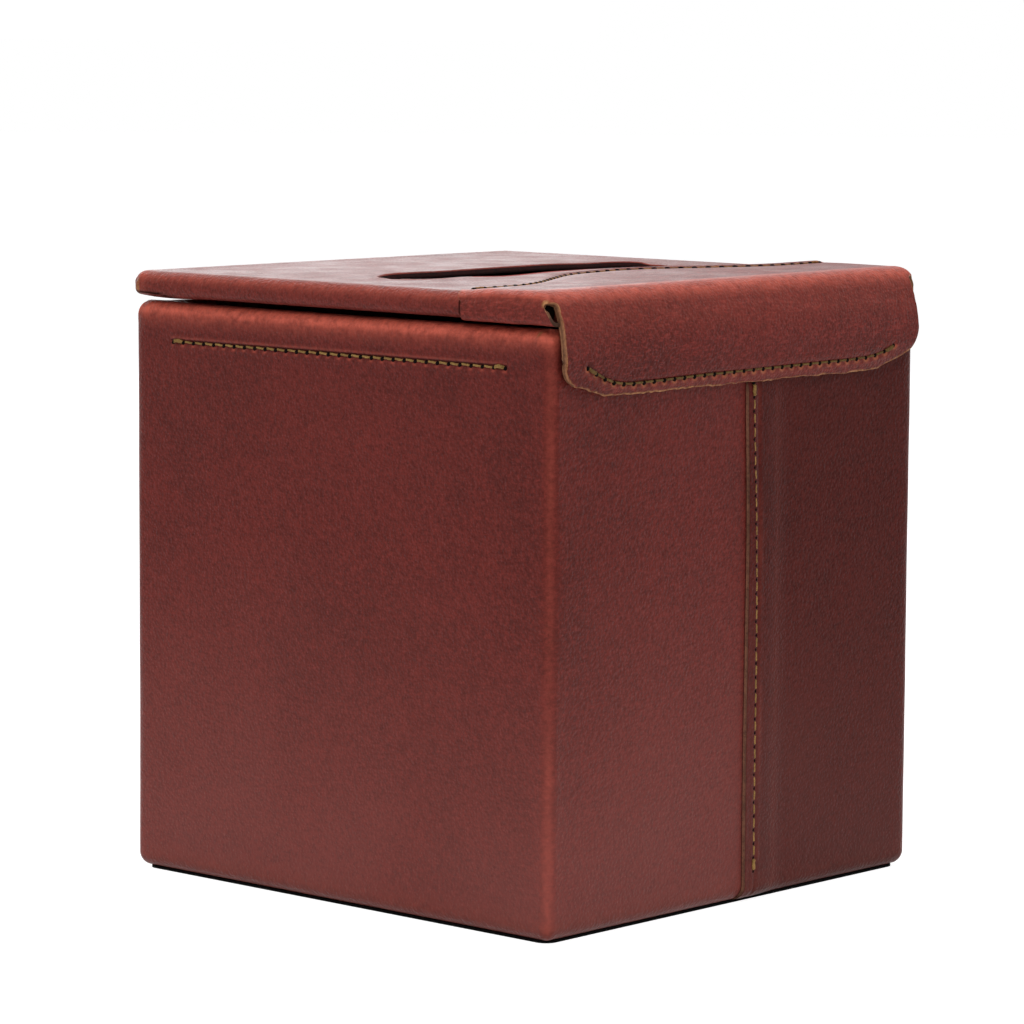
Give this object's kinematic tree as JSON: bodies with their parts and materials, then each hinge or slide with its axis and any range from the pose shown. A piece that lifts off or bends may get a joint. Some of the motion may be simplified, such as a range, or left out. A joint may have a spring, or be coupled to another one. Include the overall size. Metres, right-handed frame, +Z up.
{
  "type": "tissue box",
  "caption": "Leather-covered cube tissue box with a slotted lid that opens on a wide leather strap hinge sewn to its top and back.",
  "frame": {"origin": "centre of the face that the box stands on, which is also the centre of the box body seen from above", "axes": "+Z up, -Y the front edge where the lid lifts, +Y the back with the strap hinge, +X to the right seen from the front"},
  "size_m": [0.1312, 0.1349, 0.1429],
  "materials": {
    "leather": "oxblood pull-up leather, fine grain, softly waxed",
    "strap_leather": "the same leather cut as a strap, with raw tan edges",
    "board": "grey bookbinding board",
    "card": "thin grey infill card",
    "black_lining": "matte black microsuede lining",
    "black_cover": "matte black base sheet",
    "thread": "waxed olive-gold twisted thread"
  },
  "bodies": {
    "box": {"board_bottom": "board", "board_left": "board", "board_right": "board", "board_front": "board", "board_back": "board", "body_leather": "leather", "base_infill_card": "card", "base_cover": "black_cover", "lining_floor": "black_lining", "lining_left": "black_lining", "lining_right": "black_lining", "lining_front": "black_lining", "lining_back": "black_lining", "rim_stitching_left": "thread", "rim_stitching_right": "thread", "rim_stitching_front": "thread", "back_seam_stitching": "thread", "hinge_body_leaf": "strap_leather", "hinge_bend": "strap_leather", "hinge_flap_stitching": "thread"},
    "lid": {"lid_board": "board", "lid_leather": "leather", "lid_infill_card": "card", "lid_lining": "black_lining", "hinge_lid_leaf": "strap_leather", "hinge_lid_stitching": "thread"}
  },
  "joints": [
    {"name": "lid_hinge", "type": "hinge", "parent": "box", "child": "lid", "pos_m": [0, 0.0668, 0.1347], "axis": [-1, 0, 0], "range_deg": [0, 110], "deforming": ["hinge_bend"]}
  ]
}
